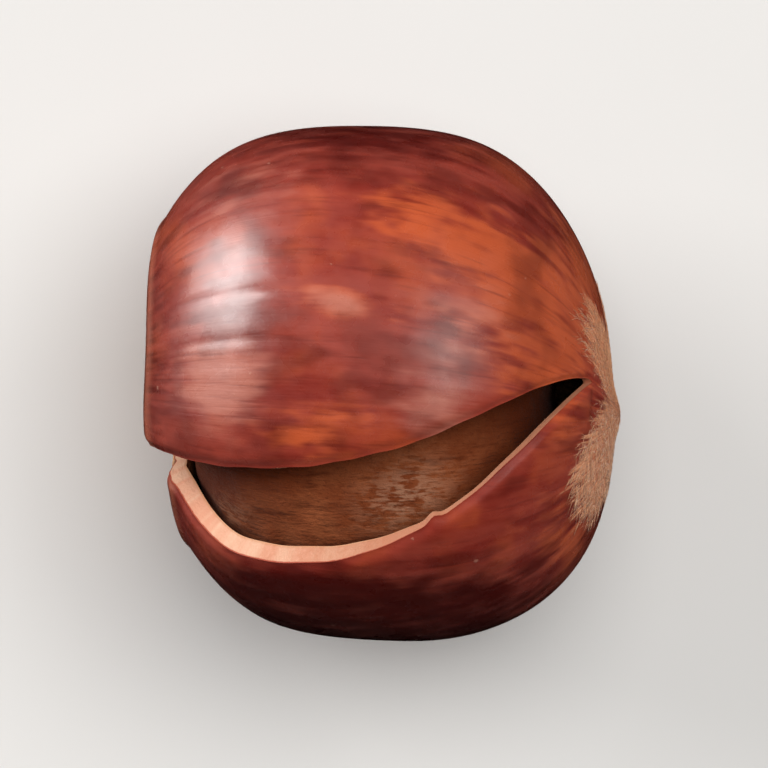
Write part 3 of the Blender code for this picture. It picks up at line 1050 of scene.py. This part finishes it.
def wool_material():
    """Dry matt hair, from pale straw to tan, each hair of one shade."""
    material, paint, surface = new_material("tip wool", sheen_weight=0.3)
    worn = paint.noise(paint.place(), 1.2, 3.0)
    share = paint.maths("MULTIPLY_ADD", paint.value("shade"), 0.7, paint.times(worn, 0.4))
    paint.join(paint.mix(share, HAIR_TAN, HAIR_PALE), surface.inputs["Base Color"])
    paint.join(paint.ramp(worn, 0.3, 0.7, 0.7, 0.9), surface.inputs["Roughness"])
    return material


wool = wool_hairs().finish_object("tip_wool", [wool_material()])
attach(wool, "root")

# The table: a wide pale board, matt and faintly uneven in tone, which only carries the nut. The
# nut's shine leaves it out, since its white would grey the shell's deep colour.

TABLE_SIZE = 12.0
TABLE_PALE = seen(228, 227, 225)
TABLE_SHADE = seen(222, 221, 219)

table_mesh = bpy.data.meshes.new("table")
half = TABLE_SIZE / 2.0
corners = [(-half, -half, 0.0), (half, -half, 0.0), (half, half, 0.0), (-half, half, 0.0)]
table_mesh.from_pydata(corners, [], [(0, 1, 2, 3)])
table = bpy.data.objects.new("table", table_mesh)
bpy.context.scene.collection.objects.link(table)
table_material, table_paint, table_surface = new_material("pale board", roughness=0.7)
tone = table_paint.noise(table_paint.place(), 0.03, 3.0)
table_paint.join(table_paint.mix(tone, TABLE_SHADE, TABLE_PALE), table_surface.inputs["Base Color"])
table_mesh.materials.append(table_material)
table.visible_glossy = False

# The light: a soft window low on the upper left and a weak lamp on the right, which both shine on the
# shell, and two that don't: light from a wide stretch of sky, and dim air before a pale backdrop.

LIGHT_DISTANCE = 1.2
AIM = Vector((0.0, 0.0, 12.0 * MM))


def add_light(name, kind, azimuth, from_up, power, colour):
    """A light whose middle is at an azimuth from +X and at an angle from straight up."""
    lamp = bpy.data.lights.new(name, kind)
    lamp.energy = power
    lamp.color = colour
    made = bpy.data.objects.new(name, lamp)
    azimuth, from_up = math.radians(azimuth), math.radians(from_up)
    aside = math.sin(from_up)
    way = Vector((aside * math.cos(azimuth), aside * math.sin(azimuth), math.cos(from_up)))
    made.location = AIM + way * LIGHT_DISTANCE
    made.rotation_mode = "QUATERNION"
    made.rotation_quaternion = way.to_track_quat("Z", "Y")
    made.visible_camera = False
    bpy.context.scene.collection.objects.link(made)
    return made


window = add_light("window", "AREA", 148.5, 71.5, 14.2, (1.0, 0.97, 0.95))
window.data.shape = "RECTANGLE"
window.data.size, window.data.size_y = 0.78, 0.74
lamp = add_light("lamp", "AREA", 26.0, 38.0, 1.7, (1.0, 0.98, 0.93))
lamp.data.shape = "RECTANGLE"
lamp.data.size, lamp.data.size_y = 0.57, 0.51
sky = add_light("sky", "SUN", 50.0, 22.0, 2.5, (1.0, 0.99, 0.98))
sky.data.angle = math.radians(60.0)
sky.visible_glossy = False

air = bpy.data.worlds.new("dim air")
air.use_nodes = True
air_paint = Paint(air.node_tree)
dim_air = air_paint.node("Background", {"Color": seen(254, 254, 255), "Strength": 0.05}).outputs[0]
backdrop = air_paint.node("Background", {"Color": TABLE_PALE, "Strength": 0.7}).outputs[0]
to_camera = air_paint.node("LightPath").outputs["Is Camera Ray"]
both = air_paint.node("MixShader", {0: to_camera, 1: dim_air, 2: backdrop}).outputs[0]
air_paint.join(both, air.node_tree.nodes["World Output"].inputs["Surface"])
air.cycles_visibility.glossy = False
bpy.context.scene.world = air

# The camera: straight above the nut, far off with a long lens, so that the nut shows as in the photograph.

LENS = 240.0
SENSOR = 36.0
SHOWN_WIDTH = 45.0 * MM
CAMERA_AIM = Vector((0.15 * MM, -0.1 * MM, 11.0 * MM))

camera_data = bpy.data.cameras.new("camera")
camera_data.lens = LENS
camera_data.sensor_width = SENSOR
camera_data.clip_start = 0.01
camera = bpy.data.objects.new("camera", camera_data)
camera.location = CAMERA_AIM + Vector((0.0, 0.0, SHOWN_WIDTH * LENS / SENSOR))
bpy.context.scene.collection.objects.link(camera)
bpy.context.scene.camera = camera
bpy.context.scene.view_settings.view_transform = "Standard"
